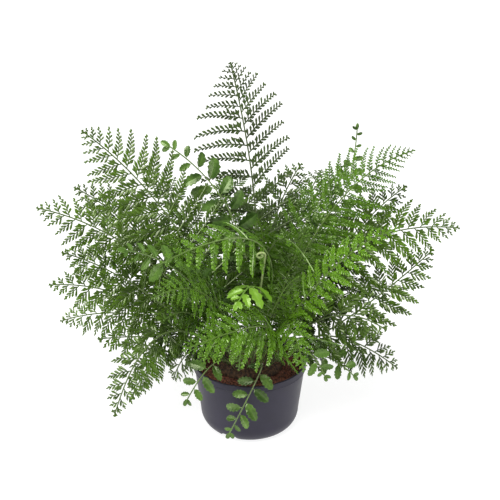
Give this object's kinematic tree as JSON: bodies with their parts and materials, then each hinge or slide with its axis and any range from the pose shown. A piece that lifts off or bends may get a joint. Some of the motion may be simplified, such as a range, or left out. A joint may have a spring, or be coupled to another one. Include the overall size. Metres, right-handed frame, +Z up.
{
  "type": "potted fern",
  "caption": "Bushy fern in a round dark plastic nursery pot: finely cut arching fronds above broader low ones that hang over the rim.",
  "frame": {"origin": "centre of the flat underside of the pot", "axes": "+Z up along the pot's axis, -Y towards the front, +X to the right seen from the front"},
  "size_m": [0.6105, 0.4607, 0.5462],
  "materials": {
    "pot_plastic": "satin dark grey-violet",
    "potting_bark": "damp red-brown bark and fibre",
    "crown_fibre": "rough scaly fibre",
    "frond_tall": "semi-matte dark olive green",
    "frond_fine": "semi-matte dark leaf green",
    "frond_dense": "semi-matte mid leaf green",
    "frond_lobed": "semi-matte leaf green",
    "frond_young": "softly glossy yellow-green of a young frond",
    "frond_broad": "softly glossy light leaf green",
    "young_shoot": "pale downy green"
  },
  "bodies": {
    "root": {"pot": "pot_plastic", "soil": "potting_bark", "crown": "crown_fibre", "curled_shoot": "young_shoot", "crest": "frond_tall", "upper_left": "frond_fine", "upper_right": "frond_dense", "left_high": "frond_fine", "left_middle": "frond_fine", "left_wide": "frond_fine", "left_low": "frond_fine", "left_droop": "frond_fine", "right_tip": "frond_fine", "right_middle": "frond_fine", "right_bright": "frond_dense", "right_low": "frond_fine", "right_droop": "frond_fine", "arch_left": "frond_lobed", "arch_right": "frond_lobed", "skirt": "frond_dense", "skirt_right": "frond_dense", "skirt_middle": "frond_dense", "skirt_left": "frond_dense", "lobed_left": "frond_lobed", "fan_left": "frond_dense", "right_lobed": "frond_lobed", "silver": "frond_dense", "upper_right_inner": "frond_dense", "crest_right": "frond_fine", "broad_top": "frond_broad", "broad_left": "frond_broad", "broad_right": "frond_broad", "broad_young": "frond_young", "broad_dark_left": "frond_broad", "broad_over_rim_front": "frond_broad", "broad_over_rim_left": "frond_broad", "broad_over_rim_right": "frond_broad", "broad_front_right": "frond_broad", "left_rear": "frond_fine", "left_curl": "frond_fine", "left_small_droop": "frond_fine", "left_stub": "frond_fine", "right_rear": "frond_fine", "inner_left": "frond_dense", "inner_right": "frond_dense", "inner_front": "frond_dense", "inner_rear": "frond_dense", "rear_high": "frond_fine", "rear_high_right": "frond_fine", "rear_high_left": "frond_fine", "rear_middle": "frond_fine", "rear_middle_left": "frond_dense", "rear_middle_right": "frond_dense", "rear_wide_left": "frond_fine", "rear_wide_right": "frond_fine", "rear_low_right": "frond_fine", "rear_low_left": "frond_fine", "rear_droop": "frond_lobed", "rear_droop_left": "frond_lobed", "broad_over_rim_rear": "frond_broad"}
  },
  "joints": []
}
